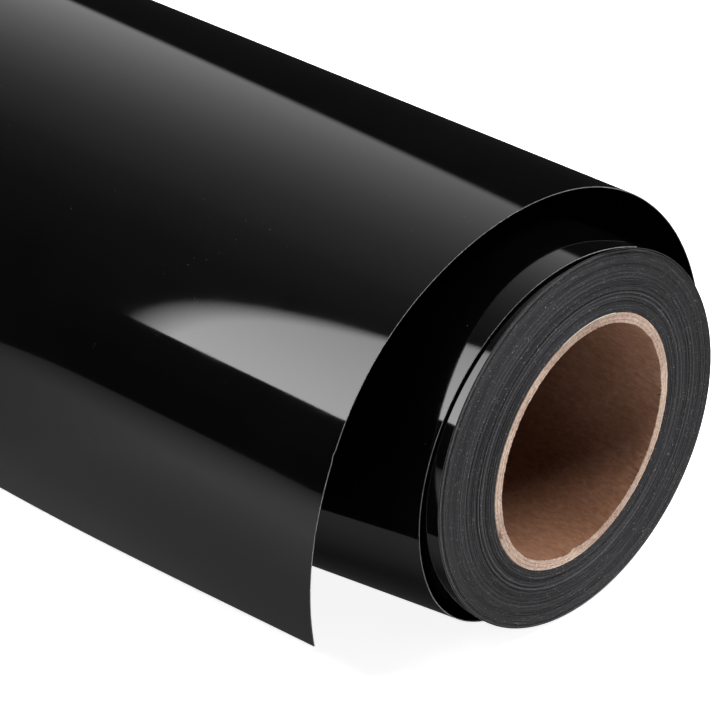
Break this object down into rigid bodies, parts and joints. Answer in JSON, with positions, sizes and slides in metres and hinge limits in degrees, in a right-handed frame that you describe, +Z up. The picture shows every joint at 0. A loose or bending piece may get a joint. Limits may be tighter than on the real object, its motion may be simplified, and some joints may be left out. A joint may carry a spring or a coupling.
{
  "type": "roll of sign vinyl",
  "caption": "Roll of gloss black film on a kraft paper core, its outer turn hanging loose as a free tail; the wound pack turns inside it as web pays out.",
  "frame": {"origin": "on the core's axis, halfway along the core", "axes": "+Z up, Y along the core with the near end at -Y, loose tail on the -X side"},
  "size_m": [0.1736, 0.3364, 0.1352],
  "materials": {
    "gloss_film": "smooth high-gloss black vinyl face film",
    "liner": "dark, slightly softer gloss inner face of the web",
    "web_edge": "satin slit edges of many black turns, with fine lap lines and dust",
    "kraft": "raw kraft paper tube, mottled bore and fibrous cut ends",
    "tape": "translucent double-sided tape"
  },
  "bodies": {
    "loose_web": {"closing_turn_film": "gloss_film", "closing_turn_liner": "liner", "rising_turn_film": "gloss_film", "rising_turn_liner": "liner", "loose_turn_film": "gloss_film", "loose_turn_liner": "liner"},
    "wound_pack": {"core_inner_ply": "kraft", "core_middle_ply": "kraft", "core_outer_ply": "kraft", "start_tape": "tape", "wound_turns_first": "web_edge", "wound_turns_second": "web_edge", "wound_turns_third": "web_edge", "wound_turns_fourth": "web_edge", "last_wound_liner": "liner", "last_wound_film": "gloss_film"},
    "tail": {"tail_film": "gloss_film", "tail_liner": "liner"}
  },
  "joints": [
    {"name": "pack_spin", "type": "hinge", "parent": "loose_web", "child": "wound_pack", "pos_m": [0, 0, 0], "axis": [0, 1, 0], "continuous": true},
    {"name": "tail_lift", "type": "hinge", "parent": "loose_web", "child": "tail", "pos_m": [-0.04864, 0, 0.06218], "axis": [0, 1, 0], "range_deg": [-5, 70], "stiffness_Nm_per_rad": 0.2, "springref_deg": 1.72}
  ]
}
